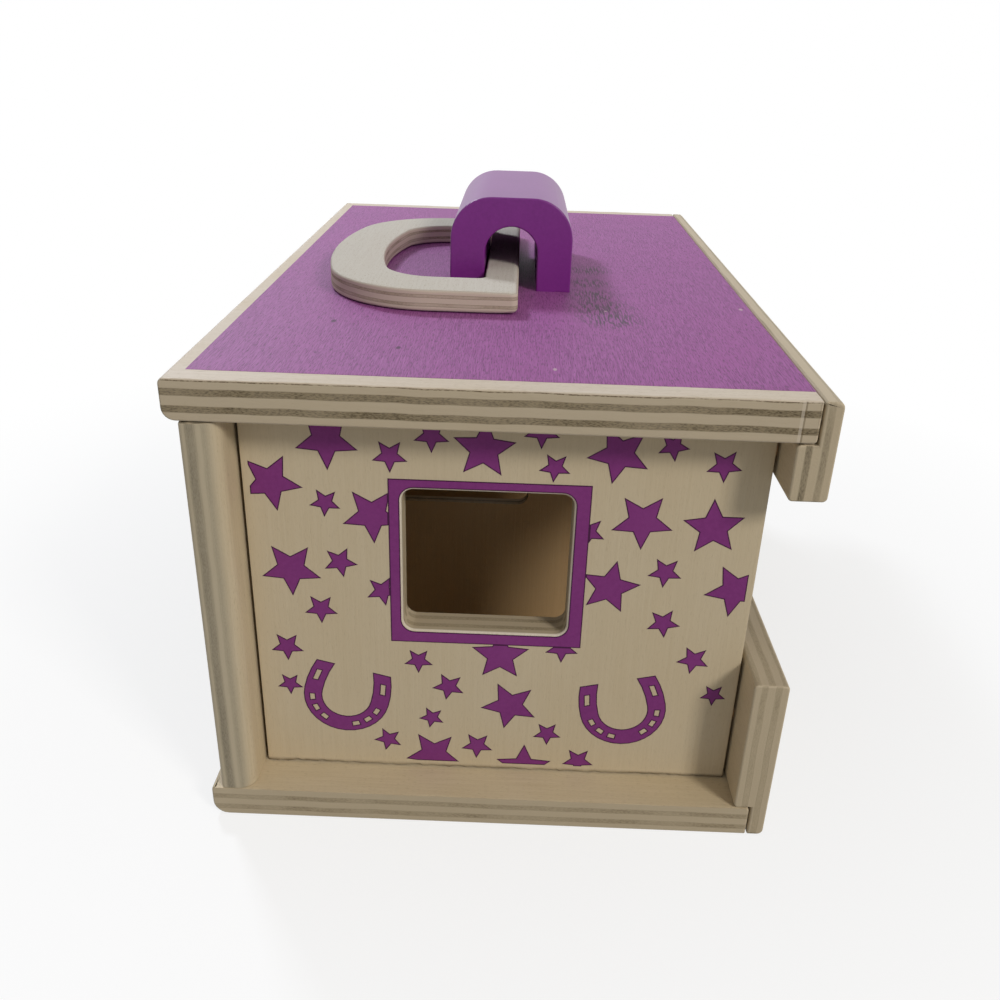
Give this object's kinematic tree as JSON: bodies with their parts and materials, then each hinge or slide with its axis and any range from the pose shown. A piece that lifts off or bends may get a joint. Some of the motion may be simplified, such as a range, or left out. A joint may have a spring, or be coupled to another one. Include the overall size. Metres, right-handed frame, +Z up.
{
  "type": "toy stable",
  "caption": "Toy stable of glued plywood boards with open-fronted stalls, end windows and a flat painted roof, carried by a loose D-shaped handle hinged under an arch block.",
  "frame": {"origin": "on the floor under the middle of the stable's outline", "axes": "+X along the length, -Y towards the open front, +Z up"},
  "size_m": [0.244, 0.15, 0.1515],
  "materials": {
    "plywood": "sanded birch plywood",
    "painted_plywood": "birch plywood, top painted satin purple",
    "printed_plywood": "birch plywood, outer face printed purple",
    "painted_block": "satin purple paint",
    "dowel_beech": "turned beech",
    "screw_steel": "zinc plated"
  },
  "bodies": {
    "stable": {"base_board": "plywood", "roof_board": "painted_plywood", "back_wall": "plywood", "front_half_wall": "plywood", "front_header": "plywood", "left_end_wall": "printed_plywood", "right_end_wall": "printed_plywood", "left_stall_divider": "plywood", "right_stall_divider": "plywood", "handle_arch": "painted_block", "arch_screws": "screw_steel", "back_wall_dowels": "dowel_beech", "end_wall_dowels": "dowel_beech", "header_dowels": "dowel_beech", "half_wall_dowels": "dowel_beech"},
    "handle": {"carry_handle": "plywood"}
  },
  "joints": [
    {"name": "handle_hinge", "type": "hinge", "parent": "stable", "child": "handle", "pos_m": [0, -0.0007, 0.12785], "axis": [1, 0, 0], "range_deg": [0, 180]}
  ]
}
